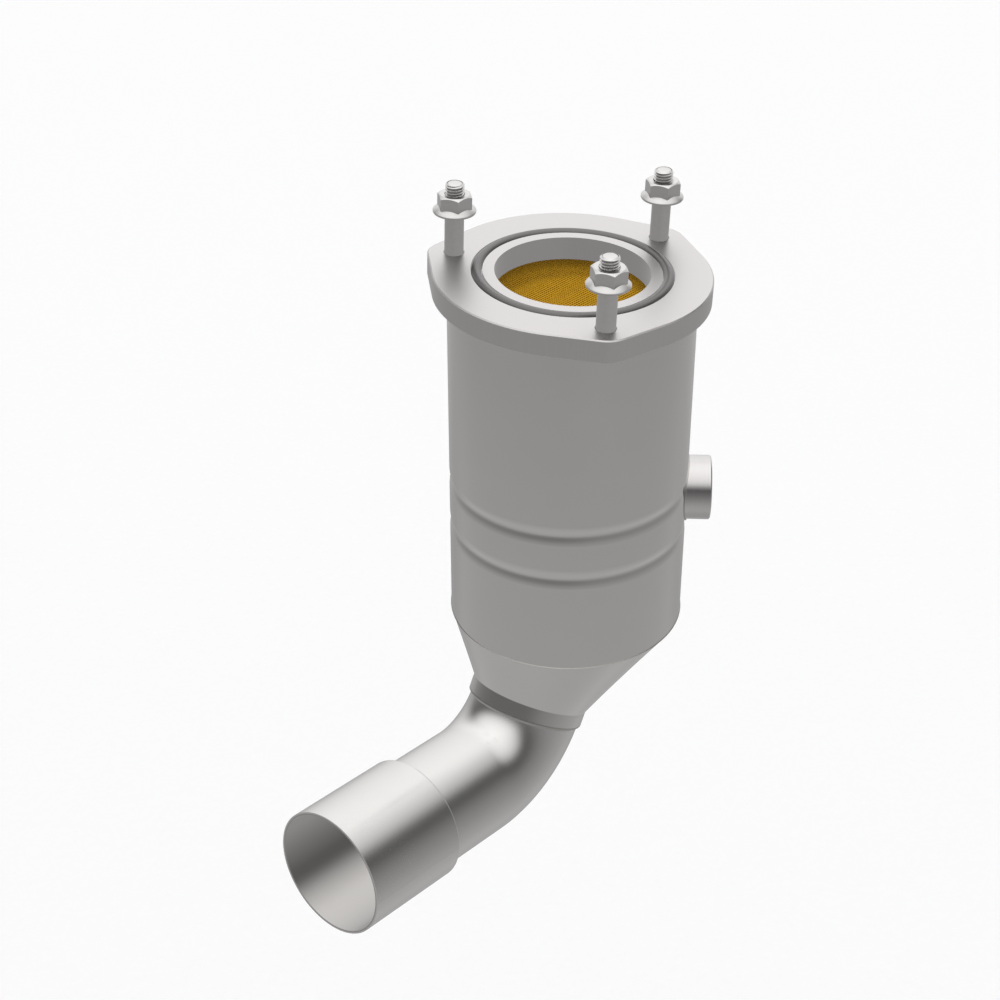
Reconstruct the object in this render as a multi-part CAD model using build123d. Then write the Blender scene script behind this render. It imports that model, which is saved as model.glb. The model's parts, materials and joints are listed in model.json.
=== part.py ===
from build123d import *
import os
from math import acos, cos, degrees, hypot, radians, sin

# Catalytic converter: a round can under a three-stud inlet flange, with an oblique
# outlet cone, a bent outlet pipe and a boss for an oxygen sensor.
# Millimetres. The origin is the middle of the flange's upper face, +Z points out of
# the inlet, and the gas flows down. The can leans a little on the flange.

# Inlet flange
FLANGE_R = 57.5          # round part of the flange
FLANGE_T = 10.0
BORE_R = 32.0            # inlet mouth
LUG_R = 11.0             # rounded lug round each stud
EDGE = 0.5               # broken edge of the flange and the boss
STUD_CIRCLE_R = 51.0
STUD_ANGLES = (45, 165, 285)
GROOVE_R_OUT = 41.7      # gasket groove
GROOVE_R_IN = 36.8
GROOVE_DEPTH = 3.5

# Studs and nuts, M8
STUD_R = 4.0             # plain shank
THREAD_R = 3.6           # threads of studs, nuts and stud holes, drawn at their pitch line
SHANK_TOP = 17.0
COUNTERSINK_R = 4.4      # mouth of a stud hole
STUD_TOP = 30.6
STUD_ENGAGED = 8.0       # length screwed into the flange
STUD_CHAMFER = 0.6
NUT_SEAT = 18.0          # height of the nuts' seats above the flange
NUT_H = 8.0
NUT_FLATS = 13.0
NUT_FLANGE_R = 8.95

# Ring gasket
GASKET_R = (GROOVE_R_OUT + GROOVE_R_IN) / 2
GASKET_TUBE_R = 2.2

# Can
LEAN = 1.55              # degrees between the can's axis and the flange's
SHEET = 1.4              # wall of the can and the cone
CAN_R = 51.6
CAN_END = -164.1
ROLL_Z = (-96.2, -117.8)  # middles of the two rolled grooves
ROLL_HALF = 2.9          # from the middle to the corner that a lip rounds off
ROLL_DEPTH = 1.03        # to the corner that the floor rounds off
LIP_ROUND = 9.5
FLOOR_ROUND = 4.0

# Catalyst bricks and their mats
BRICK_R = 46.5
FRONT_BRICK = (-14.0, -88.0)
REAR_BRICK = (-122.0, -160.0)
CELL_PITCH = 8.8         # the channels are drawn larger and fewer than the real ones
CELL_SIDE = 7.2
SEAL_H = 4.0             # knitted seal at each end of a mat
MAT_INSET = 3.0          # from a brick's end to its seal

# Sensor boss, M18 x 1.5
BOSS_Z = -102.4
BOSS_R = 14.0
BOSS_REACH = 10.0        # stands out this far from the can
BOSS_THREAD_R = 8.25     # minor radius of the thread
BOSS_INNER = 48.4        # distance of its inner end from the can's axis

# Outlet cone and pipe, drawn in the XZ plane with the outlet toward +X
OUTLET_TURN = -129.0     # then turned this far about the can's axis
COLLAR_X, COLLAR_Z = 24.17, -202.36
COLLAR_TILT = 29.0       # the collar's axis from straight down
COLLAR_LEN = 6.3
PIPE_R = 25.4
PIPE_WALL = 1.2
BEND_R = 41.0
BEND_ANGLE = 65.0
STRAIGHT = 87.3          # from the end of the bend to the open end
SLIP_R = 28.25
SLIP_LEN = 49.0          # straight part of the widened end, inside
SHOULDER_LEN = 2.4       # steep step between pipe and widened end
SHOULDER_RISE = 0.8

# Weld beads
FLANGE_BEAD = 2.4
SEAM_BEAD = 0.3
COLLAR_BEAD = 2.2
BOSS_BEAD = 0.6

COLLAR_R = PIPE_R + SHEET
CAN_BORE = CAN_R - SHEET
CUT = 200.0              # larger than the part, for trimming blocks


def leaned(shape):
    """Turn a shape from the can's upright frame to the flange's frame."""
    return Rot(0, -LEAN, 0) * shape


def outlet_placed(shape):
    """Turn a shape drawn with the outlet toward +X to where the outlet points."""
    return leaned(Rot(0, 0, OUTLET_TURN) * shape)


def ring(r_out, r_in, z_top, z_low):
    """Upright ring between two heights."""
    face = Circle(r_out) - Circle(r_in)
    return extrude(Pos(0, 0, z_low) * face, z_top - z_low)


def turned(points, radii=None):
    """Solid of revolution about Z from (r, z) corners, with some corners rounded."""
    face = make_face(Polyline(*[(r, z) for r, z in points], close=True))
    for index, radius in (radii or {}).items():
        r, z = points[index]
        corner = face.vertices().sort_by_distance((r, z, 0))[0]
        face = fillet(corner, radius)
    return revolve(Plane.XZ * face, Axis.Z)


def at_stud(angle, z=0.0):
    return Pos(STUD_CIRCLE_R * cos(radians(angle)), STUD_CIRCLE_R * sin(radians(angle)), z)


def lug_web(angle):
    """The sides of a lug run tangent to the flange's circle and to the lug's."""
    half = degrees(acos((FLANGE_R - LUG_R) / STUD_CIRCLE_R))
    out = []
    for side in (half, -half):
        n = Vector(1, 0).rotate(Axis.Z, angle + side)
        out.append((n * FLANGE_R, at_stud(angle).position + n * LUG_R))
    (root_a, tip_a), (root_b, tip_b) = out
    return make_face(Polyline(root_a, tip_a, tip_b, root_b, close=True))


def stud_hole():
    """Blind hole with a countersunk mouth."""
    depth = COUNTERSINK_R - THREAD_R
    return turned([(0, 1), (COUNTERSINK_R, 1), (COUNTERSINK_R, 0), (THREAD_R, -depth),
                   (THREAD_R, -STUD_ENGAGED), (0, -STUD_ENGAGED)])


def inlet_flange():
    outline = Circle(FLANGE_R)
    for angle in STUD_ANGLES:
        outline += lug_web(angle) + at_stud(angle) * Circle(LUG_R)
    plate = extrude(Pos(0, 0, -FLANGE_T) * outline, FLANGE_T)
    rims = plate.faces().filter_by(Axis.Z).edges()
    plate = chamfer(rims, EDGE)
    plate -= Pos(0, 0, -FLANGE_T / 2) * Cylinder(BORE_R, 2 * FLANGE_T)
    plate -= ring(GROOVE_R_OUT, GROOVE_R_IN, 1, -GROOVE_DEPTH)
    for angle in STUD_ANGLES:
        plate -= at_stud(angle) * stud_hole()
    return plate


def stud():
    """Two threaded ends and a plain shank between them."""
    return turned([(0, STUD_TOP), (THREAD_R - STUD_CHAMFER, STUD_TOP), (THREAD_R, STUD_TOP - STUD_CHAMFER),
                   (THREAD_R, SHANK_TOP), (STUD_R, SHANK_TOP), (STUD_R, 0), (THREAD_R, 0),
                   (THREAD_R, -STUD_ENGAGED), (0, -STUD_ENGAGED)])


def flange_nut():
    """Hexagon nut with a round flange below, seated on z = 0."""
    corner_r = NUT_FLATS / 2 / cos(radians(30))
    hexagon = extrude(RegularPolygon(corner_r, 6), NUT_H)
    crown = turned([(0, 0), (corner_r + 1, 0), (corner_r + 1, NUT_H - 1.6),
                    (NUT_FLATS / 2 - 0.4, NUT_H), (0, NUT_H)])
    skirt = turned([(0, 0), (NUT_FLANGE_R, 0), (NUT_FLANGE_R, 1.1), (NUT_FLATS / 2, 2.6), (0, 2.6)])
    bore = turned([(0, -1), (THREAD_R + 1.5, -1), (THREAD_R, 0.5), (THREAD_R, NUT_H - 0.5),
                   (THREAD_R + 1.5, NUT_H + 1), (0, NUT_H + 1)])
    return (hexagon & crown) + skirt - bore


def ring_gasket():
    """Round-section ring that rests on the groove's floor and stands a little proud."""
    return Pos(0, 0, GASKET_TUBE_R - GROOVE_DEPTH) * Torus(GASKET_R, GASKET_TUBE_R)


def rolled_wall(radius, end):
    """Side of the can as (r, z) corners from the top down, with the rolled grooves,
    and which corners are lips and which are floors."""
    points, lips, floors = [(radius, 0.0)], [], []
    for z in ROLL_Z:
        for r, dz, group in ((radius, ROLL_HALF, lips), (radius - ROLL_DEPTH, 0, floors),
                             (radius, -ROLL_HALF, lips)):
            group.append(len(points))
            points.append((r, z + dz))
    points.append((radius, end))
    return points, lips, floors


def can_mould(inset):
    """Solid form of the can, longer at the top than it will be, so the flange can trim it."""
    wall, lips, floors = rolled_wall(CAN_R - inset, CAN_END)
    radii = {n + 1: LIP_ROUND for n in lips} | {n + 1: FLOOR_ROUND for n in floors}
    return turned([(0.0, 0.0)] + wall + [(0.0, CAN_END)], radii)


def above_can():
    """Block that takes away whatever stands above the flange's lower face."""
    return Pos(0, 0, CUT / 2 - FLANGE_T) * Box(CUT, CUT, CUT)


def boss_plug(radius):
    """Round bar along the boss's axis, from inside the can to outside."""
    return Pos(CAN_R, 0, BOSS_Z) * Rot(0, 90, 0) * Cylinder(radius, CAN_R)


def can_shell():
    return leaned(can_mould(0) - can_mould(SHEET) - boss_plug(BOSS_R)) - above_can()


def catalyst_brick(ends):
    """Ceramic monolith with straight square channels from end to end."""
    top, low = ends
    face = Circle(BRICK_R)
    reach = int(BRICK_R / CELL_PITCH) + 1
    steps = range(-reach, reach + 1)
    cells = [(i * CELL_PITCH, j * CELL_PITCH) for i in steps for j in steps
             if hypot(abs(i) * CELL_PITCH + CELL_SIDE / 2, abs(j) * CELL_PITCH + CELL_SIDE / 2)
             < BRICK_R - 1]
    face -= [Pos(x, y) * Rectangle(CELL_SIDE, CELL_SIDE) for x, y in cells]
    return leaned(extrude(Pos(0, 0, low) * face, top - low))


def mat(ends):
    """Expanding fibre mat between a brick and the can, held between its two seals."""
    top, low = ends
    return leaned(ring(CAN_BORE, BRICK_R, top - MAT_INSET - SEAL_H, low + MAT_INSET + SEAL_H))


def mat_seal(ends, upper):
    """Knitted wire seal that keeps the gas off one end of a mat."""
    top, low = ends
    z = top - MAT_INSET if upper else low + MAT_INSET + SEAL_H
    return leaned(ring(CAN_BORE, BRICK_R, z, z - SEAL_H))


def sensor_boss():
    face_x = CAN_R + BOSS_REACH
    length = face_x - BOSS_INNER
    bar = Rot(0, 90, 0) * Cylinder(BOSS_R, length)
    bar = chamfer(bar.edges().filter_by(GeomType.CIRCLE).sort_by(Axis.X)[-1], EDGE)
    boss = Pos(BOSS_INNER + length / 2, 0, BOSS_Z) * bar
    boss -= boss_plug(BOSS_THREAD_R)
    mouth = Pos(face_x - 0.4, 0, BOSS_Z) * Rot(0, 90, 0) * Cone(BOSS_THREAD_R, BOSS_THREAD_R + 1, 1)
    return leaned(boss - mouth)


def cone_mould(inset):
    """Oblique cone from the can's end to the tilted collar, and the collar below it."""
    wide = Pos(0, 0, CAN_END) * Circle(CAN_R - inset)
    narrow = Pos(COLLAR_X, 0, COLLAR_Z) * Rot(0, 180 - COLLAR_TILT, 0)
    throat = narrow * Circle(COLLAR_R - inset)
    body = loft([wide, throat], ruled=True)
    return body + narrow * Pos(0, 0, COLLAR_LEN / 2) * Cylinder(COLLAR_R - inset, COLLAR_LEN)


def outlet_cone():
    hollow = cone_mould(SHEET)
    narrow = Pos(COLLAR_X, 0, COLLAR_Z) * Rot(0, 180 - COLLAR_TILT, 0)
    hollow += narrow * Pos(0, 0, COLLAR_LEN) * Cylinder(COLLAR_R - SHEET, COLLAR_LEN)
    return outlet_placed(cone_mould(0) - hollow)


def heading(angle):
    """Direction in the XZ plane, measured from straight down toward +X."""
    return Vector(sin(radians(angle)), 0, -cos(radians(angle)))


def pipe_stations():
    """Points along the pipe: top end, start and end of the bend, shoulder, open end."""
    start, leaving = heading(COLLAR_TILT), heading(COLLAR_TILT + BEND_ANGLE)
    top = Vector(COLLAR_X, 0, COLLAR_Z)
    bend_in = top + start * COLLAR_LEN
    side = Vector(-start.Z, 0, start.X)
    centre = bend_in + side * BEND_R
    bend_out = centre - Vector(-leaving.Z, 0, leaving.X) * BEND_R
    end = bend_out + leaving * STRAIGHT
    shoulder = end - leaving * (SLIP_LEN + SHOULDER_LEN)
    return top, bend_in, bend_out, shoulder, end, start, leaving


def pipe_mould(radius):
    """Straight stub, bend and straight run of the pipe up to the shoulder."""
    top, bend_in, bend_out, shoulder, _, start, _ = pipe_stations()
    route = Line(top, bend_in)
    route += TangentArc(bend_in, bend_out, tangent=start)
    route += Line(bend_out, shoulder)
    return sweep(Plane(top, z_dir=start) * Circle(radius), path=route)


def slip_mould(inset):
    """Widened end: a steep step, one wall further down on the inside, then a straight socket."""
    _, _, _, shoulder, _, _, leaving = pipe_stations()
    r_low, r_high, length = PIPE_R - inset, SLIP_R - inset, SLIP_LEN + SHOULDER_LEN
    step = SHOULDER_LEN - SHOULDER_RISE - PIPE_WALL + inset
    flare = turned([(0, 0), (r_low, 0), (r_low, step), (r_high, step + SHOULDER_RISE),
                    (r_high, length), (0, length)], {3: 0.7 - inset / 4})
    return Plane(shoulder, x_dir=(0, 1, 0), z_dir=leaving) * flare


def outlet_pipe():
    solid = pipe_mould(PIPE_R) + slip_mould(0)
    hollow = pipe_mould(PIPE_R - PIPE_WALL) + slip_mould(PIPE_WALL)
    return outlet_placed(solid - hollow)


def flange_bead():
    """Fillet weld between the flange's lower face and the can."""
    low = -FLANGE_T - FLANGE_BEAD
    section = [(CAN_R, 0), (CAN_R + FLANGE_BEAD, 0), (CAN_R + FLANGE_BEAD, -FLANGE_T), (CAN_R, low)]
    return leaned(turned(section)) - above_can()


def seam_bead():
    """Low weld ridge round the can's lower edge, at its seam with the cone."""
    crest = CAN_END + SEAM_BEAD
    return leaned(turned([(CAN_R, CAN_END), (CAN_R + SEAM_BEAD, crest), (CAN_R, crest + SEAM_BEAD)]))


def collar_bead():
    """Rounded weld bead where the pipe leaves the collar."""
    narrow = Pos(COLLAR_X, 0, COLLAR_Z) * Rot(0, 180 - COLLAR_TILT, 0) * Pos(0, 0, COLLAR_LEN)
    bead = turned([(PIPE_R - 1, 0), (COLLAR_R, 0), (COLLAR_R, 0.8), (PIPE_R - 0.2, COLLAR_BEAD),
                   (PIPE_R - 1, COLLAR_BEAD)], {2: 0.7})
    return outlet_placed(narrow * bead - pipe_mould(PIPE_R))


def boss_bead():
    """Weld ring round the boss, following the can's side."""
    collar = boss_plug(BOSS_R + BOSS_BEAD) - boss_plug(BOSS_R)
    reach = Pos(0, 0, BOSS_Z) * Cylinder(CAN_R + BOSS_BEAD, 4 * BOSS_R)
    return leaned((collar & reach) - can_mould(0))


def main():
    nodes = {"inlet_flange": inlet_flange(), "ring_gasket": ring_gasket(), "can_shell": can_shell(),
             "sensor_boss": sensor_boss(), "outlet_cone": outlet_cone(), "outlet_pipe": outlet_pipe()}
    for n, angle in enumerate(STUD_ANGLES, 1):
        nodes[f"stud_{n}"] = at_stud(angle) * stud()
        nodes[f"flange_nut_{n}"] = at_stud(angle, NUT_SEAT) * Rot(0, 0, angle) * flange_nut()
    for name, ends in (("front", FRONT_BRICK), ("rear", REAR_BRICK)):
        nodes[f"{name}_brick"] = catalyst_brick(ends)
        nodes[f"{name}_mat"] = mat(ends)
        nodes[f"{name}_mat_upper_seal"] = mat_seal(ends, True)
        nodes[f"{name}_mat_lower_seal"] = mat_seal(ends, False)
    nodes["flange_weld"] = flange_bead()
    nodes["cone_weld"] = seam_bead()
    nodes["outlet_weld"] = collar_bead()
    nodes["boss_weld"] = boss_bead()
    os.makedirs("parts", exist_ok=True)
    for name, shape in nodes.items():
        export_step(shape, f"parts/{name}.step")
        box = shape.bounding_box()
        print(f"{name:24s} {len(shape.solids())} solid  {shape.volume / 1000:8.2f} cm3 "
              f" z {box.min.Z:7.1f} to {box.max.Z:7.1f}")


main()
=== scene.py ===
# %% [markdown]
# # A catalytic converter in a studio
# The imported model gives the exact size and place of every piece. This script loads it,
# models again the pieces whose detail is too fine for it, gives each piece its finish,
# and puts a floor, soft lights and a camera round it. Everything is in metres.

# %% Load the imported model
import json
from math import cos, hypot, pi, radians, sin

import bpy
from mathutils import Matrix, Vector

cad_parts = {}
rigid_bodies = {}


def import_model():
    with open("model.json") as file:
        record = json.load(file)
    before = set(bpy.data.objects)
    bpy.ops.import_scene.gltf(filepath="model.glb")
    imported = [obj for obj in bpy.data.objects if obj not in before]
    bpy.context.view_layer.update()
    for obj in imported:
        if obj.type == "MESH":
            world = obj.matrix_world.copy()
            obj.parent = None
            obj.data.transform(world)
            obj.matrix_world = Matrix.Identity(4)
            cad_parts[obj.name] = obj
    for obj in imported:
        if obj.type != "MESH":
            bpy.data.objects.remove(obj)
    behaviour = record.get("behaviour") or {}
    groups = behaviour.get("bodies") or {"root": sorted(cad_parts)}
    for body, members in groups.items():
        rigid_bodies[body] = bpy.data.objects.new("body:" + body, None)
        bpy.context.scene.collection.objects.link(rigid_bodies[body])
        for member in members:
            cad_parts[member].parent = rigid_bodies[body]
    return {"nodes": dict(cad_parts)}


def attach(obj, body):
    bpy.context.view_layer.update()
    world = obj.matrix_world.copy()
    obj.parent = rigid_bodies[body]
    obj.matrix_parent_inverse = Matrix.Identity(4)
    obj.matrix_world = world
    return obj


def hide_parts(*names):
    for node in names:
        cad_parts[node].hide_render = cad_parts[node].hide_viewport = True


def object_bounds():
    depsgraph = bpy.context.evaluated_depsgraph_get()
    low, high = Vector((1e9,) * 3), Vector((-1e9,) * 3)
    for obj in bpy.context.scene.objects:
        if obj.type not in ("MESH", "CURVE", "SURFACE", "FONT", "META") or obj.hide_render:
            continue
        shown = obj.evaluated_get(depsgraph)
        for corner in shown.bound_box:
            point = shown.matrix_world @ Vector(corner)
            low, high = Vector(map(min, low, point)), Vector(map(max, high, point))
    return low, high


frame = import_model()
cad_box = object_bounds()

print(len(frame["nodes"]), "nodes, box", [[round(v, 4) for v in corner] for corner in cad_box])

# %% [markdown]
# ## Sizes that the pieces share
# The can leans a little on its flange, so what belongs to the can is modelled upright
# and then turned with it. Keeping the few shared sizes in one place means that a piece
# can be moved by changing a single number.

# %% Shared sizes
MM = 0.001
LEAN = radians(-1.55)
LEANED = Matrix.Rotation(LEAN, 4, "Y")
STUD_CIRCLE = 51.0 * MM
STUD_ANGLES = (45, 165, 285)
NUT_SEAT = 18.0 * MM


def at_stud(angle):
    """Turn and shift of the stud at this angle."""
    return Matrix.Rotation(radians(angle), 4, "Z") @ Matrix.Translation((STUD_CIRCLE, 0, 0))


print("studs at", [tuple(round(v, 4) for v in at_stud(a).translation) for a in STUD_ANGLES])

# %% [markdown]
# ## Small tools for modelling
# Operators act on whatever is selected, and they leave their work selected. These
# helpers start a primitive with nothing else selected, pick faces or vertices by a test
# on their place, and settle a finished piece with its place in its mesh.

# %% Modelling helpers
def only(*objects):
    """Select these objects alone; the first one is active."""
    for other in bpy.context.view_layer.objects:
        other.select_set(False)
    for item in objects:
        item.select_set(True)
    bpy.context.view_layer.objects.active = objects[0]


def begin(name, primitive, **sizes):
    """Add a primitive by its operator, named and alone in the selection."""
    for other in bpy.context.view_layer.objects:
        other.select_set(False)
    primitive(**sizes)
    piece = bpy.context.object
    piece.name = piece.data.name = name
    return piece


def edit(mode="FACE"):
    """Enter edit mode with everything selected."""
    bpy.ops.object.mode_set(mode="EDIT")
    bpy.ops.mesh.select_mode(type=mode)
    bpy.ops.mesh.select_all(action="SELECT")


def pick(piece, kind, test):
    """Select the polygons or vertices that pass a test, and go back to edit mode."""
    bpy.ops.mesh.select_all(action="DESELECT")
    bpy.ops.object.mode_set(mode="OBJECT")
    mesh = piece.data
    for item in getattr(mesh, kind):
        item.select = bool(test(item))
    bpy.ops.object.mode_set(mode="EDIT")


def done(piece):
    """Leave edit mode and apply the place, turn and scale to the mesh."""
    if bpy.context.mode != "OBJECT":
        bpy.ops.object.mode_set(mode="OBJECT")
    only(piece)
    bpy.ops.object.transform_apply(location=True, rotation=True, scale=True)


def placed(piece, matrix):
    """Move the mesh of a finished piece to its place."""
    piece.data.transform(matrix)
    piece.data.update()


def applied(piece, kind, **settings):
    """Add a modifier and apply it."""
    only(piece)
    modifier = piece.modifiers.new(kind.title(), kind)
    for key, value in settings.items():
        setattr(modifier, key, value)
    bpy.ops.object.modifier_apply(modifier=modifier.name)


def tidy(piece, angle):
    """Merge doubles, point the faces outward and shade smooth up to an angle."""
    only(piece)
    edit("VERT")
    bpy.ops.mesh.remove_doubles(threshold=0.002 * MM)
    bpy.ops.mesh.normals_make_consistent(inside=False)
    bpy.ops.object.mode_set(mode="OBJECT")
    bpy.ops.object.shade_smooth_by_angle(angle=radians(angle))


def copy_of(piece, name):
    """Copy of a piece with a mesh of its own."""
    twin = bpy.data.objects.new(name, piece.data.copy())
    twin.data.name = name
    bpy.context.scene.collection.objects.link(twin)
    return twin


def combined(piece, operation, tool):
    """Add, cut away or keep what lies in a tool, which is used up."""
    applied(piece, "BOOLEAN", operation=operation, object=tool, solver="EXACT")
    bpy.data.objects.remove(tool)


def report(piece):
    """Print how many triangles the piece has."""
    piece.data.calc_loop_triangles()
    print(f"{piece.name}: {len(piece.data.loop_triangles)} triangles")


print("helpers ready")

# %% [markdown]
# ## The front brick
# A catalyst brick is a ceramic honeycomb with square channels about 1.3 mm apart. The
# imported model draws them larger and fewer. Here the upper face is a grid whose squares
# are inset and sunk, which gives every channel real walls, and the rim of the grid is
# drawn out to the brick's round skin. The channels end blind where no light reaches.

# %% Front brick: a grid of channels
BRICK_R = 46.5 * MM
BRICK_TOP, BRICK_LOW = -14.0 * MM, -88.0 * MM
CELL = 1.27 * MM             # pitch of the channels, 400 to the square inch
CELL_WALL = 0.3 * MM         # ceramic wall with its coating
CHANNEL_DEPTH = 5.0 * MM
CELL_TAPER = 0.01 * MM       # a channel narrows by this as it sinks
CELL_TURN = radians(50)      # how the brick happens to sit in its can
GRID_R = BRICK_R - 2.0 * CELL    # the squares of the grid reach this far
CUT_R = BRICK_R - 1.5 * CELL     # and those inside this radius become channels

across = 2 * (int(BRICK_R / CELL) + 1)
brick = begin("front_honeycomb", bpy.ops.mesh.primitive_grid_add, x_subdivisions=across,
              y_subdivisions=across, size=across * CELL, location=(0, 0, BRICK_TOP))
edit()
pick(brick, "polygons", lambda f: hypot(*f.center.xy) > GRID_R)
bpy.ops.mesh.delete(type="FACE")
bpy.ops.object.mode_set(mode="OBJECT")
print(len(brick.data.polygons), "channels")

# %% Front brick: the skin round the channels
bpy.ops.object.mode_set(mode="EDIT")
bpy.ops.mesh.select_mode(type="EDGE")
bpy.ops.mesh.select_all(action="SELECT")
bpy.ops.mesh.region_to_loop()
bpy.ops.mesh.extrude_edges_move()
bpy.ops.transform.tosphere(value=1.0)
bpy.ops.object.mode_set(mode="OBJECT")
rim = [hypot(*v.co.xy) for v in brick.data.vertices if v.select]
bpy.ops.object.mode_set(mode="EDIT")
grow = BRICK_R / (sum(rim) / len(rim))
bpy.ops.transform.resize(value=(grow, grow, 1), center_override=(0, 0, BRICK_TOP))
bpy.ops.mesh.extrude_edges_move(TRANSFORM_OT_translate={"value": (0, 0, BRICK_LOW - BRICK_TOP)})
bpy.ops.mesh.edge_face_add()
print("rim radius", round(sum(rim) / len(rim) * grow, 5))

# %% Front brick: sink the channels
def is_square(face):
    """A whole square of the grid, flat in the upper face and clear of the skin."""
    flat = abs(face.normal.z) > 0.9 and face.center.z > BRICK_TOP - 0.1 * MM
    whole = len(face.vertices) == 4 and 0.5 < face.area / CELL ** 2 < 1.5
    return flat and whole and hypot(*face.center.xy) < CUT_R


pick(brick, "polygons", is_square)
bpy.ops.mesh.inset(thickness=CELL_WALL / 2, depth=0, use_individual=True)
bpy.ops.mesh.inset(thickness=CELL_TAPER, depth=-CHANNEL_DEPTH, use_individual=True)
bpy.ops.object.mode_set(mode="OBJECT")
done(brick)
only(brick)
edit("VERT")
bpy.ops.mesh.normals_make_consistent(inside=False)
bpy.ops.object.mode_set(mode="OBJECT")
placed(brick, LEANED @ Matrix.Rotation(CELL_TURN, 4, "Z"))
report(brick)
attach(brick, "root")
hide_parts("front_brick")

# %% [markdown]
# ## The studs
# A stud is a steel rod with a thread at each end and a plain shank between. The threads
# are rolled, so their crests stand nearly as wide as the shank. The rod is one cylinder
# whose end faces are drawn out and narrowed. A thread is one small shape carried round
# and up together, which is what the Screw modifier does. It is trimmed by a blank that
# narrows toward its end, as the rod does. The lower thread is hidden in the flange, so
# that end stays plain.

# %% Drawing a face out
def draw_out(piece, z, rise, from_r, to_r):
    """Extrude the flat end at this height by a rise, and change its radius."""
    pick(piece, "polygons",
         lambda f: abs(f.center.z - z) < 0.001 * MM and abs(f.normal.z) > 0.99)
    bpy.ops.mesh.extrude_region_move(TRANSFORM_OT_translate={"value": (0, 0, rise)})
    bpy.ops.transform.resize(value=(to_r / from_r, to_r / from_r, 1),
                             center_override=(0, 0, z + rise))
    return z + rise


print("draw_out ready")

# %% Rod of a stud
SHANK_R, ROOT_R, ENGAGED_R = 4.0 * MM, 3.25 * MM, 3.6 * MM
THREAD_R, THREAD_DEPTH, THREAD_PITCH = 3.95 * MM, 0.75 * MM, 1.25 * MM
SHANK_TOP, STUD_TOP, STUD_LOW = 17.0 * MM, 30.6 * MM, -8.0 * MM
RUN_OUT, RUN_OUT_R = 0.6 * MM, 3.4 * MM      # cone between the shank and the thread
POINT, POINT_R, TIP_R = 0.35 * MM, 2.9 * MM, 2.4 * MM    # cone at the stud's end
shank = SHANK_TOP - RUN_OUT
stud = begin("threaded_stud_1", bpy.ops.mesh.primitive_cylinder_add, vertices=48, radius=SHANK_R,
             depth=shank, location=(0, 0, shank / 2))
done(stud)
edit()
z = draw_out(stud, shank, RUN_OUT, SHANK_R, RUN_OUT_R)
z = draw_out(stud, z, 0.1 * MM, RUN_OUT_R, ROOT_R)
z = draw_out(stud, z, STUD_TOP - 0.5 * MM - z, ROOT_R, ROOT_R)
z = draw_out(stud, z, POINT, ROOT_R, POINT_R)
z = draw_out(stud, z, STUD_TOP - z, POINT_R, TIP_R)
low = draw_out(stud, 0.0, -0.2 * MM, SHANK_R, ENGAGED_R)
low = draw_out(stud, low, STUD_LOW - low, ENGAGED_R, ENGAGED_R)
done(stud)
print("rod from", round(low, 4), "to", round(z, 4))

# %% Ridge of a thread
RIDGE_ROOT, RIDGE_CREST = 0.93, 0.18     # width at the root over the pitch, and crest over root
RIDGE_STEPS = 36                         # steps in one turn


def thread_ridge(name, root_r, crest_r, pitch, turns, low):
    """Closed ridge that winds up from a height; it narrows from its root to its crest."""
    height, middle = abs(crest_r - root_r), (crest_r + root_r) / 2
    ridge = begin(name, bpy.ops.mesh.primitive_plane_add, size=1.0 * MM)
    edit("VERT")
    bpy.ops.transform.resize(value=(height / MM, RIDGE_ROOT * pitch / MM, 1),
                             center_override=(0, 0, 0))
    bpy.ops.transform.rotate(value=pi / 2, orient_axis="X", center_override=(0, 0, 0))
    outward = crest_r > root_r
    pick(ridge, "vertices", lambda v: (v.co.x > 0) == outward)
    bpy.ops.transform.resize(value=(1, 1, RIDGE_CREST), center_override=(0, 0, 0))
    bpy.ops.mesh.select_all(action="SELECT")
    bpy.ops.transform.translate(value=(middle, 0, low))
    done(ridge)
    applied(ridge, "SCREW", axis="Z", screw_offset=pitch, iterations=turns,
            steps=RIDGE_STEPS, render_steps=RIDGE_STEPS)
    only(ridge)
    edit("VERT")
    bpy.ops.mesh.fill_holes(sides=0)
    bpy.ops.mesh.normals_make_consistent(inside=False)
    bpy.ops.object.mode_set(mode="OBJECT")
    return ridge


STUD_TURNS, RIDGE_LOW = 12, SHANK_TOP - 0.9 * MM
ridge = thread_ridge("stud_ridge", THREAD_R - THREAD_DEPTH, THREAD_R, THREAD_PITCH, STUD_TURNS,
                     RIDGE_LOW)
print("ridge", len(ridge.data.polygons), "faces")

# %% Trim the thread and put it on the rod
BLANK_R, BLANK_TIP_R, BLANK_TOP = 4.3 * MM, 3.1 * MM, STUD_TOP - 0.75 * MM
blank = begin("stud_blank", bpy.ops.mesh.primitive_cylinder_add, vertices=48, radius=BLANK_R,
              depth=BLANK_TOP, location=(0, 0, BLANK_TOP / 2))
done(blank)
edit()
draw_out(blank, BLANK_TOP, STUD_TOP - BLANK_TOP, BLANK_R, BLANK_TIP_R)
bpy.ops.object.mode_set(mode="OBJECT")
combined(ridge, "INTERSECT", blank)
only(stud, ridge)
bpy.ops.object.join()
tidy(stud, 32)
report(stud)

# %% Three studs
STUD_TURN = 100      # degrees from one stud's thread to the next, as no two stop alike
studs = [stud] + [copy_of(stud, f"threaded_stud_{n}") for n in (2, 3)]
for n, (piece, angle) in enumerate(zip(studs, STUD_ANGLES), 1):
    placed(piece, at_stud(angle) @ Matrix.Rotation(radians(STUD_TURN * n), 4, "Z"))
    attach(piece, "root")
    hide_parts(f"stud_{n}")
print([piece.name for piece in studs])

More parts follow.
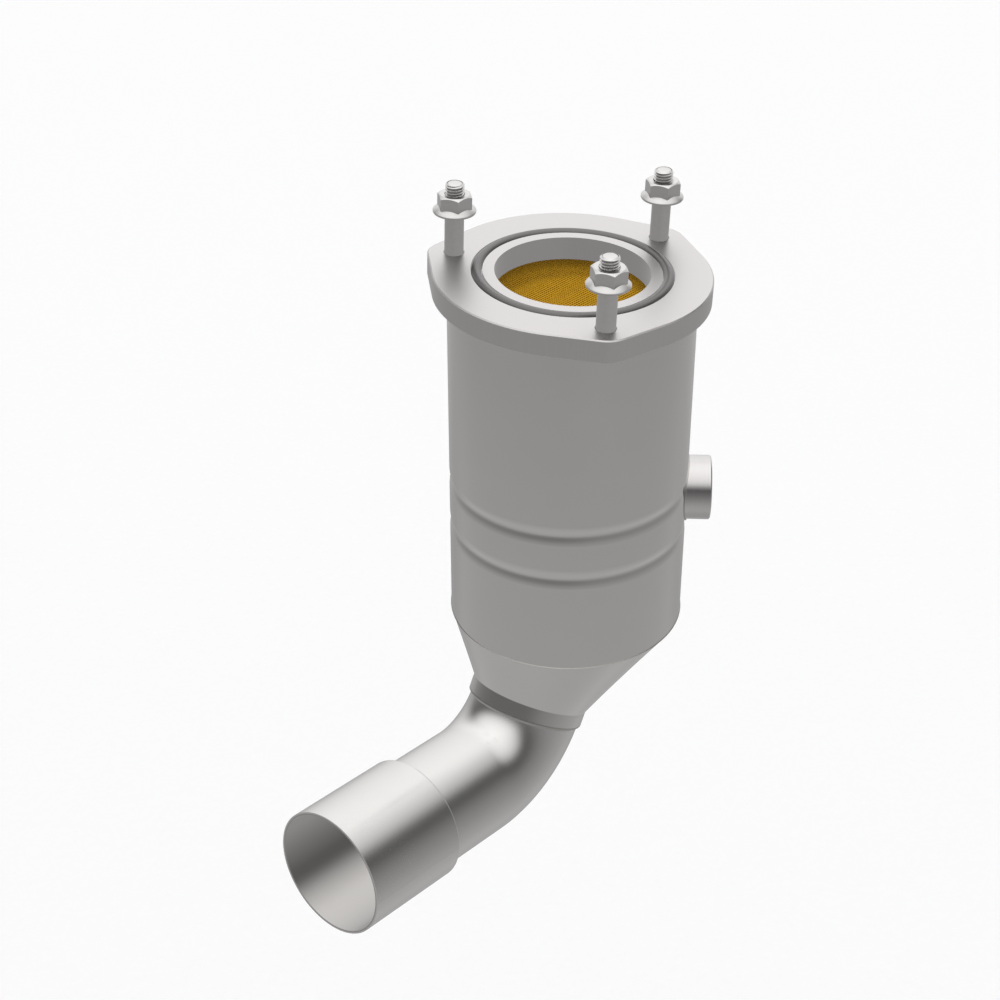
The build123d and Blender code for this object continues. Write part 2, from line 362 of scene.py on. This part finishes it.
# %% [markdown]
# ## The flange nuts
# A flange nut is pressed hot from bar: a hexagon whose corners are cut back by a cone,
# and a round flange that slopes up to it. The hexagon starts as a cylinder of six sides.
# Where cone and flats meet they leave the arcs that every nut has, so the cone is cut
# by a real intersection. The edges are then broken by a small bevel.

# %% A nut
NUT_H, NUT_CORNER_R, NUT_FLANGE_R = 8.0 * MM, 7.506 * MM, 8.95 * MM
CROWN_R, CROWN_TIP_R, CROWN_LOW = 8.5 * MM, 6.1 * MM, 6.4 * MM   # cone that cuts the corners
EDGE_R, SLOPE_TOP_R = 8.75 * MM, 6.5 * MM                        # flange's edge and its slope
THREAD_BORE_R, BORE_MOUTH_R = 3.6 * MM, 4.9 * MM
BROKEN_EDGE = 0.22 * MM
nut = begin("hexagon_nut_1", bpy.ops.mesh.primitive_cylinder_add, vertices=6, radius=NUT_CORNER_R,
            depth=NUT_H, location=(0, 0, NUT_H / 2))
edit()
bpy.ops.transform.rotate(value=pi / 2, orient_axis="Z", center_override=(0, 0, NUT_H / 2))
done(nut)
crown = begin("nut_crown", bpy.ops.mesh.primitive_cylinder_add, vertices=96, radius=CROWN_R,
              depth=CROWN_LOW, location=(0, 0, CROWN_LOW / 2))
done(crown)
edit()
draw_out(crown, CROWN_LOW, 1.6 * MM, CROWN_R, CROWN_TIP_R)
bpy.ops.object.mode_set(mode="OBJECT")
combined(nut, "INTERSECT", crown)
skirt = begin("nut_skirt", bpy.ops.mesh.primitive_cylinder_add, vertices=96, radius=EDGE_R,
              depth=0.2 * MM, location=(0, 0, 0.1 * MM))
done(skirt)
edit()
z = draw_out(skirt, 0.2 * MM, 0.2 * MM, EDGE_R, NUT_FLANGE_R)
z = draw_out(skirt, z, 0.45 * MM, NUT_FLANGE_R, NUT_FLANGE_R)
z = draw_out(skirt, z, 0.25 * MM, NUT_FLANGE_R, EDGE_R)
draw_out(skirt, z, 1.5 * MM, EDGE_R, SLOPE_TOP_R)
bpy.ops.object.mode_set(mode="OBJECT")
combined(nut, "UNION", skirt)
bore = begin("nut_bore", bpy.ops.mesh.primitive_cylinder_add, vertices=48, radius=THREAD_BORE_R,
             depth=NUT_H - 1.0 * MM, location=(0, 0, NUT_H / 2))
done(bore)
edit()
draw_out(bore, NUT_H - 0.5 * MM, 1.0 * MM, THREAD_BORE_R, BORE_MOUTH_R)
draw_out(bore, 0.5 * MM, -1.0 * MM, THREAD_BORE_R, BORE_MOUTH_R)
bpy.ops.object.mode_set(mode="OBJECT")
combined(nut, "DIFFERENCE", bore)
applied(nut, "BEVEL", width=BROKEN_EDGE, segments=3, limit_method="ANGLE",
        angle_limit=radians(24))
tidy(nut, 30)
report(nut)

# %% Three nuts
nuts = [nut] + [copy_of(nut, f"hexagon_nut_{n}") for n in (2, 3)]
for n, (piece, angle) in enumerate(zip(nuts, STUD_ANGLES), 1):
    placed(piece, Matrix.Translation((0, 0, NUT_SEAT)) @ at_stud(angle))
    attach(piece, "root")
    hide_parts(f"flange_nut_{n}")
print([piece.name for piece in nuts])

# %% [markdown]
# ## The sensor boss
# The boss is a turned collar with an M18 x 1.5 thread for the oxygen sensor. It is made
# upright, bored out by a tool with a wide mouth, and given the same kind of ridge as the
# studs, this time with its crest inward. Then it is laid along X, into the can's side.

# %% Sensor boss with its thread
BOSS_R, BOSS_LEN, BOSS_AT = 14.0 * MM, 13.2 * MM, Vector((48.4, 0, -102.4)) * MM
BOSS_EDGE = 0.5 * MM                                     # chamfer of its outer rim
PORT_R, PORT_MOUTH_R, CREST_R = 8.95 * MM, 10.1 * MM, 8.25 * MM
PORT_PITCH, PORT_TURNS, PORT_LOW = 1.5 * MM, 7, 0.9 * MM
boss = begin("threaded_boss", bpy.ops.mesh.primitive_cylinder_add, vertices=96, radius=BOSS_R,
             depth=BOSS_LEN - BOSS_EDGE, location=(0, 0, (BOSS_LEN - BOSS_EDGE) / 2))
done(boss)
edit()
draw_out(boss, BOSS_LEN - BOSS_EDGE, BOSS_EDGE, BOSS_R, BOSS_R - BOSS_EDGE)
bpy.ops.object.mode_set(mode="OBJECT")
bore = begin("boss_bore", bpy.ops.mesh.primitive_cylinder_add, vertices=72, radius=PORT_R,
             depth=BOSS_LEN - 0.6 * MM, location=(0, 0, BOSS_LEN / 2 - 0.3 * MM))
done(bore)
edit()
draw_out(bore, BOSS_LEN - 0.6 * MM, 1.2 * MM, PORT_R, PORT_MOUTH_R)
draw_out(bore, 0.0, -1.0 * MM, PORT_R, PORT_R)
bpy.ops.object.mode_set(mode="OBJECT")
combined(boss, "DIFFERENCE", bore)
ridge = thread_ridge("boss_ridge", PORT_R + 0.1 * MM, CREST_R, PORT_PITCH, PORT_TURNS, PORT_LOW)
only(boss, ridge)
bpy.ops.object.join()
tidy(boss, 32)
placed(boss, LEANED @ Matrix.Translation(BOSS_AT) @ Matrix.Rotation(pi / 2, 4, "Y"))
report(boss)
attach(boss, "root")
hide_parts("sensor_boss")

# %% [markdown]
# ## The weld under the flange
# The can is welded to the flange all round. A welder's bead is a row of small pools that
# froze one on top of the next. One pool is a flattened ball that leans back; it is
# modelled once and set round the can on a plain root that closes the gaps.

# %% Flange weld: one pool
WELD_R, FLANGE_LOW, POOL_STEP = 51.6 * MM, -10.0 * MM, 2.3 * MM
POOL_HALF = (2.0, 1.9, 1.5)      # half its length, width and height, mm
POOL_LEAN = radians(24)          # each pool leans back on the one before
pool = begin("weld_pool", bpy.ops.mesh.primitive_uv_sphere_add, segments=10, ring_count=6,
             radius=1.0 * MM)
edit()
bpy.ops.transform.resize(value=POOL_HALF, center_override=(0, 0, 0))
bpy.ops.transform.rotate(value=POOL_LEAN, orient_axis="X", center_override=(0, 0, 0))
done(pool)
report(pool)

# %% Flange weld: root and pools
middle = LEANED @ Vector((0, 0, FLANGE_LOW))
weld = begin("rippled_flange_weld", bpy.ops.mesh.primitive_torus_add,
             major_segments=180, minor_segments=10,
             major_radius=WELD_R + 0.5 * MM, minor_radius=1.5 * MM,
             location=(middle.x, middle.y, FLANGE_LOW - 0.5 * MM))
done(weld)
SINK, WANDER = 0.55 * MM, 0.12 * MM      # below the flange, and up and down by hand
spot = Matrix.Translation((middle.x, middle.y, FLANGE_LOW - SINK))
count = int(2 * pi * WELD_R / POOL_STEP)
pools = [copy_of(pool, f"pool_{n}") for n in range(count)]
for n, twin in enumerate(pools):
    twin.data.transform(spot @ Matrix.Rotation(2 * pi * n / count, 4, "Z")
                        @ Matrix.Translation((WELD_R + SINK, 0, WANDER * sin(5.1 * n)))
                        @ Matrix.Rotation(radians(45), 4, "Y"))
bpy.data.objects.remove(pool)
only(weld, *pools)
bpy.ops.object.join()
bpy.ops.object.shade_smooth_by_angle(angle=radians(50))
report(weld)
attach(weld, "root")
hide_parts("flange_weld")
print(count, "pools")

# %% [markdown]
# ## Finishes
# Each finish starts from what the real surface is. Colours are written as sRGB hex
# values and turned to linear by one function, and every pattern takes its scale from a
# size in millimetres. A piece's object coordinates are metres of the real object, so a
# frequency is simply one over the size.

# %% Tools for the finishes
def linear(code):
    """Linear colour of an sRGB hex value."""
    channels = [int(code[i:i + 2], 16) / 255 for i in (1, 3, 5)]
    light = [c / 12.92 if c <= 0.04045 else ((c + 0.055) / 1.055) ** 2.4 for c in channels]
    return (*light, 1.0)


def per(size_mm):
    """Pattern scale whose features are this many millimetres across."""
    return 1000.0 / size_mm


def add(tree, kind, inputs=None, **settings):
    """Add a node with its settings, and link or set its inputs."""
    node = tree.nodes.new(kind)
    for key, value in settings.items():
        setattr(node, key, value)
    for key, value in (inputs or {}).items():
        if isinstance(value, bpy.types.NodeSocket):
            tree.links.new(value, node.inputs[key])
        else:
            node.inputs[key].default_value = value
    return node


def new_finish(name, metallic=1.0, **sockets):
    """Material with one Principled shader; sockets are its uniform values."""
    material = bpy.data.materials.new(name)
    material.use_nodes = True
    tree = material.node_tree
    shader = tree.nodes["Principled BSDF"]
    shader.inputs["Metallic"].default_value = metallic
    for key, value in sockets.items():
        shader.inputs[key.replace("_", " ")].default_value = value
    return material, tree, shader


def vary(tree, shader, factor, dark, light, rough):
    """Colour and roughness follow a pattern between two colours and two values."""
    colour = add(tree, "ShaderNodeMix", {0: factor, 6: linear(dark), 7: linear(light)},
                 data_type="RGBA")
    tree.links.new(colour.outputs[2], shader.inputs["Base Color"])
    value = add(tree, "ShaderNodeMapRange",
                {"Value": factor, "To Min": rough[0], "To Max": rough[1]})
    tree.links.new(value.outputs[0], shader.inputs["Roughness"])


def raise_grain(tree, shader, height, depth_mm):
    """Bump of this real depth."""
    bump = add(tree, "ShaderNodeBump",
               {"Height": height, "Distance": depth_mm * MM, "Strength": 1.0})
    tree.links.new(bump.outputs[0], shader.inputs["Normal"])


finishes = {}
print("tools ready")

# %% [markdown]
# ### Stainless sheet
# The can and cone are ferritic stainless sheet as it leaves the mill: grey, satin, with
# faint rolling lines that run round the can once the sheet has been rolled up.

# %% Mill-finish stainless sheet
material, tree, shader = new_finish("mill_finish_stainless_sheet")
place = add(tree, "ShaderNodeTexCoord").outputs["Object"]
lines = add(tree, "ShaderNodeMapping", {"Vector": place, "Scale": (per(30), per(30), per(0.5))})
rolling = add(tree, "ShaderNodeTexNoise", {"Vector": lines.outputs[0], "Scale": 1.0, "Detail": 3.0})
cloud = add(tree, "ShaderNodeTexNoise", {"Vector": place, "Scale": per(25), "Detail": 2.0})
both = add(tree, "ShaderNodeMix", {0: 0.5, 2: rolling.outputs[0], 3: cloud.outputs[0]})
vary(tree, shader, both.outputs[0], "#A9A7A5", "#B0AEAC", (0.2, 0.27))
raise_grain(tree, shader, rolling.outputs[0], 0.0015)
finishes["sheet"] = material
print(material.name)

# %% [markdown]
# ### Drawn stainless tube
# The pipe is the same steel drawn as tube. Bending stretches its skin, which leaves a
# fine even grain instead of lines. The open end was widened over a mandrel. Its inside
# is rougher, and its colour there is painted darker as painted shade of the hollow end.
# Inside is found from the distance to the end's axis, so the pattern needs no map.

# %% Drawn stainless tube
PIPE_END = Vector((-90.244, -118.927, -225.327)) * MM    # middle of the open end
PIPE_AXIS = Vector((-0.6294, -0.7753, 0.0527))           # the way that it points
INSIDE_R, INSIDE_LOW = 27.6 * MM, -49.5 * MM             # the mandrel reached this far
material, tree, shader = new_finish("drawn_stainless_tube")
place = add(tree, "ShaderNodeTexCoord").outputs["Object"]
grain = add(tree, "ShaderNodeTexNoise", {"Vector": place, "Scale": per(0.7), "Detail": 3.0})
cloud = add(tree, "ShaderNodeTexNoise", {"Vector": place, "Scale": per(18), "Detail": 2.0})
both = add(tree, "ShaderNodeMix", {0: 0.4, 2: grain.outputs[0], 3: cloud.outputs[0]})
vary(tree, shader, both.outputs[0], "#A8A7A5", "#B2B0AF", (0.22, 0.3))
raise_grain(tree, shader, grain.outputs[0], 0.005)
from_end = add(tree, "ShaderNodeVectorMath", {0: place, 1: PIPE_END}, operation="SUBTRACT")
depth = add(tree, "ShaderNodeVectorMath", {0: from_end.outputs[0], 1: PIPE_AXIS},
            operation="DOT_PRODUCT")
aside = add(tree, "ShaderNodeVectorMath", {0: from_end.outputs[0], 1: PIPE_AXIS},
            operation="CROSS_PRODUCT")
radius = add(tree, "ShaderNodeVectorMath", {0: aside.outputs[0]}, operation="LENGTH")
near_axis = add(tree, "ShaderNodeMath", {0: radius.outputs["Value"], 1: INSIDE_R},
                operation="LESS_THAN")
in_end = add(tree, "ShaderNodeMath", {0: depth.outputs["Value"], 1: INSIDE_LOW},
             operation="GREATER_THAN")
inside = add(tree, "ShaderNodeMath", {0: near_axis.outputs[0], 1: in_end.outputs[0]},
             operation="MULTIPLY")
skin = shader.inputs["Base Color"].links[0].from_socket
polish = shader.inputs["Roughness"].links[0].from_socket
# Inside the open end the colour is painted darker, as painted shade of the hollow; the rougher skin
# there is real.
painted_shade_inside = add(tree, "ShaderNodeMix", {0: inside.outputs[0], 6: skin, 7: linear("#92908E")},
           data_type="RGBA")
matt = add(tree, "ShaderNodeMix", {0: inside.outputs[0], 2: polish, 3: 0.36})
tree.links.new(painted_shade_inside.outputs[2], shader.inputs["Base Color"])
tree.links.new(matt.outputs[0], shader.inputs["Roughness"])
finishes["tube"] = material
print(material.name)

# %% [markdown]
# ### Machined flange
# The flange is cut from plate and faced on a lathe, so its faces carry fine rings about
# the middle, and its edge carries the upright lines of the cut.

# %% Machined stainless plate
material, tree, shader = new_finish("faced_stainless_plate")
coords = add(tree, "ShaderNodeTexCoord")
place = coords.outputs["Object"]
parts = add(tree, "ShaderNodeSeparateXYZ", {0: place})
flat = add(tree, "ShaderNodeCombineXYZ", {0: parts.outputs[0], 1: parts.outputs[1]})
radius = add(tree, "ShaderNodeVectorMath", {0: flat.outputs[0]}, operation="LENGTH")
along = add(tree, "ShaderNodeCombineXYZ", {0: radius.outputs["Value"]})
rings = add(tree, "ShaderNodeTexNoise",
            {"Vector": along.outputs[0], "Scale": per(0.35), "Detail": 2.0})
upright = add(tree, "ShaderNodeMapping", {"Vector": place, "Scale": (per(0.5), per(0.5), per(12))})
cut = add(tree, "ShaderNodeTexNoise", {"Vector": upright.outputs[0], "Scale": 1.0, "Detail": 2.0})
facing = add(tree, "ShaderNodeSeparateXYZ", {0: coords.outputs["Normal"]})
level = add(tree, "ShaderNodeMath", {0: facing.outputs[2]}, operation="ABSOLUTE")
marks = add(tree, "ShaderNodeMix", {0: level.outputs[0], 2: cut.outputs[0], 3: rings.outputs[0]})
vary(tree, shader, marks.outputs[0], "#A5A3A2", "#ADABAA", (0.36, 0.44))
raise_grain(tree, shader, marks.outputs[0], 0.003)
finishes["plate"] = material
print(material.name)

# %% [markdown]
# ### Turned boss
# The sensor boss is turned from bar, so its marks run round the boss's own axis, which
# points along X.

# %% Turned stainless bar
material, tree, shader = new_finish("turned_stainless_bar")
place = add(tree, "ShaderNodeTexCoord").outputs["Object"]
round_axis = add(tree, "ShaderNodeMapping",
                 {"Vector": place, "Scale": (per(0.3), per(20), per(20))})
turning = add(tree, "ShaderNodeTexNoise",
              {"Vector": round_axis.outputs[0], "Scale": 1.0, "Detail": 2.0})
vary(tree, shader, turning.outputs[0], "#A09E9D", "#A9A7A6", (0.14, 0.2))
raise_grain(tree, shader, turning.outputs[0], 0.004)
finishes["bar"] = material
print(material.name)

# %% [markdown]
# ### Zinc plate
# Studs and nuts are steel with bright zinc plate, which has a slightly cloudy surface.

# %% Zinc-plated steel
material, tree, shader = new_finish("zinc_plated_steel")
place = add(tree, "ShaderNodeTexCoord").outputs["Object"]
cloud = add(tree, "ShaderNodeTexNoise", {"Vector": place, "Scale": per(1.6), "Detail": 4.0})
vary(tree, shader, cloud.outputs[0], "#A8A6A4", "#B4B3B2", (0.32, 0.42))
raise_grain(tree, shader, cloud.outputs[0], 0.006)
finishes["zinc"] = material
print(material.name)

# %% [markdown]
# ### Gasket
# The ring gasket is a steel core with a dark graphite skin, duller than the steel.

# %% Graphite-skinned steel
material, tree, shader = new_finish("graphite_skinned_steel", metallic=0.8)
place = add(tree, "ShaderNodeTexCoord").outputs["Object"]
specks = add(tree, "ShaderNodeTexNoise", {"Vector": place, "Scale": per(0.5), "Detail": 4.0})
vary(tree, shader, specks.outputs[0], "#565453", "#6A6867", (0.36, 0.52))
raise_grain(tree, shader, specks.outputs[0], 0.015)
finishes["gasket"] = material
print(material.name)

# %% [markdown]
# ### Coated ceramic
# The bricks are cordierite, a ceramic, under a washcoat with precious metal, which gives
# them their golden brown. The washcoat is a dry powder, rough to light.

# %% Washcoated cordierite
material, tree, shader = new_finish("washcoated_cordierite", metallic=0.0, Specular_IOR_Level=0.2)
place = add(tree, "ShaderNodeTexCoord").outputs["Object"]
powder = add(tree, "ShaderNodeTexNoise", {"Vector": place, "Scale": per(0.25), "Detail": 3.0})
patches = add(tree, "ShaderNodeTexNoise", {"Vector": place, "Scale": per(9), "Detail": 3.0})
both = add(tree, "ShaderNodeMix", {0: 0.5, 2: powder.outputs[0], 3: patches.outputs[0]})
vary(tree, shader, both.outputs[0], "#C49316", "#E2B32F", (0.7, 0.85))
raise_grain(tree, shader, powder.outputs[0], 0.02)
finishes["ceramic"] = material
print(material.name)

# %% [markdown]
# ### Fibre mat
# Between brick and can lies a mat of ceramic fibre and vermiculite flakes: a dull, dry
# felt with a faint lie of its strands. It is inside, but it keeps its finish.

# %% Vermiculite fibre mat
material, tree, shader = new_finish("vermiculite_fibre_mat", metallic=0.0)
place = add(tree, "ShaderNodeTexCoord").outputs["Object"]
strands = add(tree, "ShaderNodeMapping", {"Vector": place, "Scale": (per(3), per(3), per(0.3))})
fibres = add(tree, "ShaderNodeTexNoise",
             {"Vector": strands.outputs[0], "Scale": 1.0, "Detail": 4.0})
flakes = add(tree, "ShaderNodeTexVoronoi", {"Vector": place, "Scale": per(2.0)})
both = add(tree, "ShaderNodeMix", {0: 0.4, 2: fibres.outputs[0], 3: flakes.outputs[0]})
vary(tree, shader, both.outputs[0], "#7E7564", "#B4AB98", (0.8, 0.95))
raise_grain(tree, shader, fibres.outputs[0], 0.2)
finishes["mat"] = material
print(material.name)

# %% [markdown]
# ### Knitted wire
# At the ends of the mat runs a cord of knitted stainless wire. Its loops are painted
# lighter in rows as painted highlight, and the gaps between them darker as painted shade.

# %% Knitted stainless wire
material, tree, shader = new_finish("knitted_stainless_wire")
place = add(tree, "ShaderNodeTexCoord").outputs["Object"]
WAVE_UNIT = 2 * pi / 20      # a wave texture of scale 1 repeats at this distance
loop_relief_and_painted_shade = add(tree, "ShaderNodeTexWave",
            {"Vector": place, "Scale": per(1.2) * WAVE_UNIT, "Distortion": 6.0, "Detail": 2.0},
            bands_direction="Z")
# Painted highlight on the rows of loops and painted shade in the gaps; the bump is real relief.
vary(tree, shader, loop_relief_and_painted_shade.outputs["Fac"], "#5F5D5B", "#A8A6A3", (0.3, 0.5))
raise_grain(tree, shader, loop_relief_and_painted_shade.outputs["Fac"], 0.25)
finishes["knit"] = material
print(material.name)

# %% [markdown]
# ### Weld metal
# Weld metal is a little darker and duller than the sheet, because it froze in the air.
# The pools of the flange weld are geometry; the other beads are smooth, and the finish
# adds the fine skin of all four.

# %% Weld metal
material, tree, shader = new_finish("stainless_weld_metal")
place = add(tree, "ShaderNodeTexCoord").outputs["Object"]
skin = add(tree, "ShaderNodeTexNoise", {"Vector": place, "Scale": per(1.1), "Detail": 3.0})
vary(tree, shader, skin.outputs[0], "#8A8784", "#9A9794", (0.32, 0.44))
raise_grain(tree, shader, skin.outputs[0], 0.02)
finishes["weld"] = material
print(material.name)

# %% Put the finishes on the pieces
WEARS = {
    "sheet": ("can_shell", "outlet_cone"),
    "tube": ("outlet_pipe",),
    "plate": ("inlet_flange",),
    "bar": ("threaded_boss",),
    "zinc": ("threaded_stud_1", "threaded_stud_2", "threaded_stud_3",
             "hexagon_nut_1", "hexagon_nut_2", "hexagon_nut_3"),
    "gasket": ("ring_gasket",),
    "ceramic": ("front_honeycomb", "rear_brick"),
    "mat": ("front_mat", "rear_mat"),
    "knit": ("front_mat_upper_seal", "front_mat_lower_seal",
             "rear_mat_upper_seal", "rear_mat_lower_seal"),
    "weld": ("rippled_flange_weld", "cone_weld", "outlet_weld", "boss_weld"),
}
for finish, names in WEARS.items():
    for name in names:
        piece = bpy.data.objects[name]
        if not piece.material_slots:
            piece.data.materials.append(None)
        for slot in piece.material_slots:
            slot.material = finishes[finish]
print({finish: len(names) for finish, names in WEARS.items()})

# %% [markdown]
# ## Floor, light and camera
# The floor is plain matt paper and lies well below the part, which its flange holds up.
# Its colour alone makes the background pale. The light stays at the level at which a
# colour looks as it is written.

# %% Floor
FLOOR_Z = cad_box[0][2] - 350 * MM
floor = begin("floor", bpy.ops.mesh.primitive_circle_add, vertices=96, radius=5.0,
              fill_type="NGON", location=(0, 0, FLOOR_Z))
done(floor)
material, tree, shader = new_finish("matt_white_paper", metallic=0.0, Roughness=0.9)
place = add(tree, "ShaderNodeTexCoord").outputs["Object"]
fibre = add(tree, "ShaderNodeTexNoise", {"Vector": place, "Scale": per(4), "Detail": 2.0})
shade = add(tree, "ShaderNodeMix",
            {0: fibre.outputs[0], 6: linear("#F9F9F9"), 7: linear("#FDFDFD")},
            data_type="RGBA")
tree.links.new(shade.outputs[2], shader.inputs["Base Color"])
floor.data.materials.append(material)
floor.visible_glossy = False
print("floor at", round(FLOOR_Z, 4))

# %% [markdown]
# ### The studio that the steel mirrors
# Satin steel has little colour of its own. What it shows is the room, so the room is
# drawn as brightness from straight down to straight up: one ramp for the right side, one
# for the left and one for the back, each with its own dark and light bands. They belong to
# the world and not to the camera, so the reflections stay put when one walks round. The
# camera itself sees plain white, and matt surfaces get plain soft light.

# %% World
world = bpy.data.worlds.new("studio")
bpy.context.scene.world = world
world.use_nodes = True
tree = world.node_tree
tree.nodes.clear()
rays = add(tree, "ShaderNodeLightPath")
seen = add(tree, "ShaderNodeMath",
           {0: rays.outputs["Is Camera Ray"], 1: rays.outputs["Is Transmission Ray"]},
           operation="MAXIMUM")
direction = add(tree, "ShaderNodeTexCoord").outputs["Generated"]
height = add(tree, "ShaderNodeSeparateXYZ", {0: direction})
angle = add(tree, "ShaderNodeMath", {0: height.outputs[2]}, operation="ARCSINE")
turned = add(tree, "ShaderNodeMapRange",
             {"Value": angle.outputs[0], "From Min": -pi / 2, "From Max": pi / 2})


def levels(stops):
    """Brightness of the studio from straight down to straight up, as a colour ramp."""
    ramp = add(tree, "ShaderNodeValToRGB", {0: turned.outputs[0]})
    points = ramp.color_ramp.elements
    while len(points) < len(stops):
        points.new(0.5)
    for point, (elevation, level) in zip(points, stops):
        point.position = (elevation + 90) / 180
        point.color = (level, level, level, 1)
    return ramp.outputs[0]


def toward(azimuth, near, far):
    """1 within the near angle of this azimuth, 0 beyond the far one; 0 degrees is +Y."""
    level = add(tree, "ShaderNodeVectorMath", {0: direction, 1: (1, 1, 0)},
                operation="MULTIPLY")
    level = add(tree, "ShaderNodeVectorMath", {0: level.outputs[0]}, operation="NORMALIZE")
    middle = (sin(radians(azimuth)), cos(radians(azimuth)), 0)
    near_it = add(tree, "ShaderNodeVectorMath", {0: level.outputs[0], 1: middle},
                  operation="DOT_PRODUCT")
    share = add(tree, "ShaderNodeMapRange",
                {"Value": near_it.outputs["Value"], "From Min": cos(radians(far)),
                 "From Max": cos(radians(near))}, interpolation_type="SMOOTHSTEP")
    return share.outputs[0]


# each pair is an elevation in degrees and the brightness there
RIGHT = ((-90, 0.6), (-65, 0.78), (-50, 0.76), (-35, 0.68), (-20, 0.56), (-5, 0.45), (8, 0.32),
         (20, 0.14), (30, 0.16), (40, 1.0), (50, 1.5), (65, 1.85), (90, 2.2))
LEFT = ((-90, 0.6), (-65, 0.78), (-50, 0.76), (-35, 0.68), (-20, 0.51), (-6, 0.36), (8, 0.25),
        (20, 0.19), (30, 0.77), (40, 1.42), (50, 1.75), (65, 1.98), (90, 2.2))
BACK = ((-90, 0.6), (-50, 0.56), (-35, 0.44), (-20, 0.68), (-5, 1.19), (8, 1.49), (20, 1.69),
        (30, 1.82), (50, 1.95), (65, 2.15), (90, 2.2))
SOFT_LEVEL, MIRRORED_LEVEL = 0.73, 1.1
sides = add(tree, "ShaderNodeMix", {0: toward(238, 48, 88), 6: levels(RIGHT), 7: levels(LEFT)},
            data_type="RGBA")
studio = add(tree, "ShaderNodeMix",
             {0: toward(0, 20, 60), 6: sides.outputs[2], 7: levels(BACK)}, data_type="RGBA")
white = add(tree, "ShaderNodeBackground", {0: (1, 1, 1, 1), 1: 1.0})
mirrored = add(tree, "ShaderNodeBackground", {0: studio.outputs[2], 1: MIRRORED_LEVEL})
soft = add(tree, "ShaderNodeBackground", {0: (1, 1, 1, 1), 1: SOFT_LEVEL})
lit = add(tree, "ShaderNodeMixShader",
          {0: rays.outputs["Is Glossy Ray"], 1: soft.outputs[0], 2: mirrored.outputs[0]})
whole = add(tree, "ShaderNodeMixShader",
            {0: seen.outputs[0], 1: lit.outputs[0], 2: white.outputs[0]})
add(tree, "ShaderNodeOutputWorld", {0: whole.outputs[0]})
print("world ready")

# %% [markdown]
# ### The lamp
# One lamp stands behind the part, high up, as wide as a large soft box. It gives the
# honeycomb its shade and the floor its shadow. The steel does not see it, because the
# bright parts of the ramps stand for it there.

# %% Lamp
SUN_AZIMUTH, SUN_HEIGHT, SUN_WIDTH = radians(-15), radians(58), radians(14)
SUN_LEVEL = 1.02
data = bpy.data.lights.new("key", "SUN")
data.energy, data.angle = SUN_LEVEL, SUN_WIDTH
key = bpy.data.objects.new("key", data)
bpy.context.scene.collection.objects.link(key)
away = Vector((sin(SUN_AZIMUTH) * cos(SUN_HEIGHT), cos(SUN_AZIMUTH) * cos(SUN_HEIGHT),
               sin(SUN_HEIGHT)))
key.location = 2 * away
key.rotation_euler = away.to_track_quat("Z", "Y").to_euler()
key.visible_glossy = False
print("lamp ready")

# %% [markdown]
# ### What the steel mirrors besides
# The large pieces mirror the studio alone, which keeps their shading calm. Only the studs
# and nuts are seen in other pieces: they leave soft dark spots on the flange at their feet.

# %% What is seen in reflections
for piece in [o for o in bpy.data.objects if o.type == "MESH"]:
    piece.visible_glossy = piece in studs + nuts
print("mirrors set")

# %% [markdown]
# ### The camera
# Place, direction and focal length were worked out from the known circles of the flange,
# the groove and the can. They are given in the can's upright frame and leaned with it.

# %% Camera
CAMERA_AT = Vector((0, -706.448, 339.285)) * MM
FOCAL_PX, FRAME_PX = 1910.936, 1000
HEADING, DOWN, ROLL = radians(-2.4055), radians(32.5147), radians(-0.0313)
aim = (Matrix.Rotation(-HEADING, 4, "Z") @ Matrix.Rotation(pi / 2 - DOWN, 4, "X")
       @ Matrix.Rotation(ROLL, 4, "Z"))
view = bpy.data.cameras.new("camera")
view.sensor_fit, view.sensor_width = "HORIZONTAL", 36.0
view.lens = FOCAL_PX / FRAME_PX * view.sensor_width
view.clip_start, view.clip_end = 0.01, 50
camera = bpy.data.objects.new("camera", view)
bpy.context.scene.collection.objects.link(camera)
camera.matrix_world = LEANED @ Matrix.Translation(CAMERA_AT) @ aim
bpy.context.scene.camera = camera
bpy.context.scene.view_settings.view_transform = "Standard"
print("lens", round(view.lens, 2), "mm")
